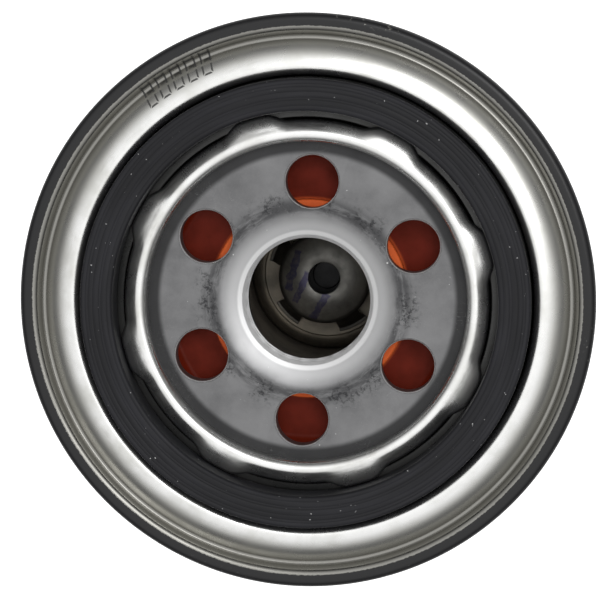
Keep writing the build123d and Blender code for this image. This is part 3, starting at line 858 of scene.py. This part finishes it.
tin_plate = tin_plate_finish()
phosphate = plate_finish()
rubber = gasket_finish()
silicone = silicone_finish()
black_paint = paint_finish()
cage_steel = cage_finish()
tube_steel = steel_finish("oiled_tube_steel", (0.36, 0.33, 0.29), (0.22, 0.20, 0.18), 0.6, 0.42, 170.0)
cap_steel = steel_finish("pressed_cap_steel", (0.30, 0.27, 0.22), (0.18, 0.165, 0.14), 0.8, 0.32)
valve_steel = steel_finish("valve_steel", (0.30, 0.27, 0.22), (0.18, 0.165, 0.14), 0.8, 0.34)
rivet_steel = steel_finish("dark_rivet_steel", (0.035, 0.035, 0.036), (0.02, 0.02, 0.021), 0.6, 0.42)
spring_steel = steel_finish("spring_steel", (0.36, 0.36, 0.37), (0.20, 0.20, 0.21), 0.9, 0.3)
leaf_steel = steel_finish("blued_leaf_steel", (0.24, 0.25, 0.29), (0.12, 0.13, 0.17), 0.9, 0.34)
seal_rubber = plain_finish("seal_rubber", (0.030, 0.030, 0.031), (0.018, 0.018, 0.019), 0.5)
plastisol = plain_finish("set_plastisol", (0.55, 0.33, 0.22), (0.43, 0.25, 0.16), 0.45)
compound = plain_finish("seam_compound", (0.26, 0.22, 0.17), (0.18, 0.15, 0.12), 0.6)
paper = paper_finish()


def dress(piece, finish, body=None, stands_for=None):
    """Gives a piece its finish and its body."""
    piece.data.materials.clear()
    piece.data.materials.append(finish)
    if stands_for:
        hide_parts(stands_for)
    if body:
        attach(piece, body)
    return piece


def seat_finish_on_node(name, finish):
    """A new finish on a piece that keeps its own shape."""
    piece = nodes[name]
    for place_in_list in piece.material_slots:
        place_in_list.material = finish
    return piece


dress(lid_piece(), tin_plate, "housing", "seam_lid")
dress(plate_piece(), phosphate, "housing", "base_plate")
dress(gasket_piece(), rubber, "housing", "sealing_gasket")
dress(valve_bead_piece(), silicone, "housing", "anti_drainback_valve")
flap = dress(valve_flap_piece(), silicone, "housing", "anti_drainback_valve")
dress(cage_piece(), cage_steel, "filter_element", "bypass_cage")
coil = dress(spring_piece(), spring_steel, "filter_element", "bypass_spring")
leaf = dress(leaf_piece(), leaf_steel, "housing", "support_spring")

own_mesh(flap)
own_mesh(coil)
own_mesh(leaf)

for name, finish in (
    ("canister", black_paint), ("seam_sealant", compound), ("top_end_cap", cap_steel),
    ("bottom_end_cap", cap_steel), ("center_tube", tube_steel), ("pleated_media", paper),
    ("media_seam_clip", cap_steel), ("top_adhesive", plastisol), ("bottom_adhesive", plastisol),
    ("bypass_valve_seat", valve_steel), ("bypass_valve_disc", rivet_steel),
    ("bypass_valve_seal", seal_rubber), ("bypass_seal_rivet", rivet_steel),
):
    seat_finish_on_node(name, finish)


# ---- floor, light and camera ----

def floor_piece():
    """Pale floor that reads white from the camera and keeps the shadow."""
    select_none()
    bpy.ops.mesh.primitive_plane_add(size=1.4, location=(0, 0, -0.1 * mm))
    floor = bpy.context.active_object
    floor.name = "floor"
    finish = bpy.data.materials.new("pale_floor")
    finish.use_nodes = True
    tree = finish.node_tree
    shader = tree.nodes["Principled BSDF"]
    shader.inputs["Base Color"].default_value = (0.86, 0.86, 0.86, 1)
    shader.inputs["Roughness"].default_value = 0.9
    shader.inputs["Emission Color"].default_value = (1, 1, 1, 1)
    paths = tree.nodes.new("ShaderNodeLightPath")
    feed(tree, shader.inputs["Emission Strength"], calc(tree, "MULTIPLY", paths.outputs["Is Camera Ray"], 0.85))
    floor.data.materials.append(finish)


def studio_light():
    """White room, brightest overhead, with a soft lamp above on the camera's side."""
    world = bpy.data.worlds.new("studio")
    bpy.context.scene.world = world
    world.use_nodes = True
    tree = world.node_tree
    background = tree.nodes["Background"]
    split = tree.nodes.new("ShaderNodeSeparateXYZ")
    feed(tree, split.inputs[0], tree.nodes.new("ShaderNodeTexCoord").outputs["Generated"])
    level = spread(tree, split.outputs[2], 0.3, 1.0, 0.16, 1.2)
    paths = tree.nodes.new("ShaderNodeLightPath")
    level = calc(tree, "MAXIMUM", level, paths.outputs["Is Camera Ray"])
    feed(tree, background.inputs["Strength"], level)
    background.inputs["Color"].default_value = (1, 1, 1, 1)
    select_none()
    bpy.ops.object.light_add(type="AREA", location=(0.25, 0.28, 0.8))
    lamp = bpy.context.active_object
    lamp.name = "soft_lamp"
    lamp.data.shape = "DISK"
    lamp.data.size = 0.5
    lamp.data.energy = 1.6
    lamp.rotation_euler = lamp.location.to_track_quat("Z", "Y").to_euler()


def viewing_camera():
    """Camera over the threaded end, tilted a little to one side."""
    tilt = math.radians(7.8)
    side = math.radians(52)
    distance = 350 * mm
    aim_right = -0.72 * mm
    aim_up = 0.97 * mm
    rim_centre = Vector((0, 0, seam_top))
    back = Vector((
        math.sin(tilt) * math.cos(side), math.sin(tilt) * math.sin(side), math.cos(tilt)
    ))
    right = Vector((0, 1, 0)).cross(back).normalized()
    up = back.cross(right)
    spot = rim_centre + back * distance + right * aim_right + up * aim_up
    select_none()
    bpy.ops.object.camera_add(location=spot)
    camera = bpy.context.active_object
    camera.name = "viewing_camera"
    camera.rotation_euler = Matrix((right, up, back)).transposed().to_euler()
    camera.data.lens = 152
    camera.data.clip_start = 10 * mm
    bpy.context.scene.camera = camera


floor_piece()
studio_light()
viewing_camera()
bpy.context.scene.view_settings.view_transform = "Standard"
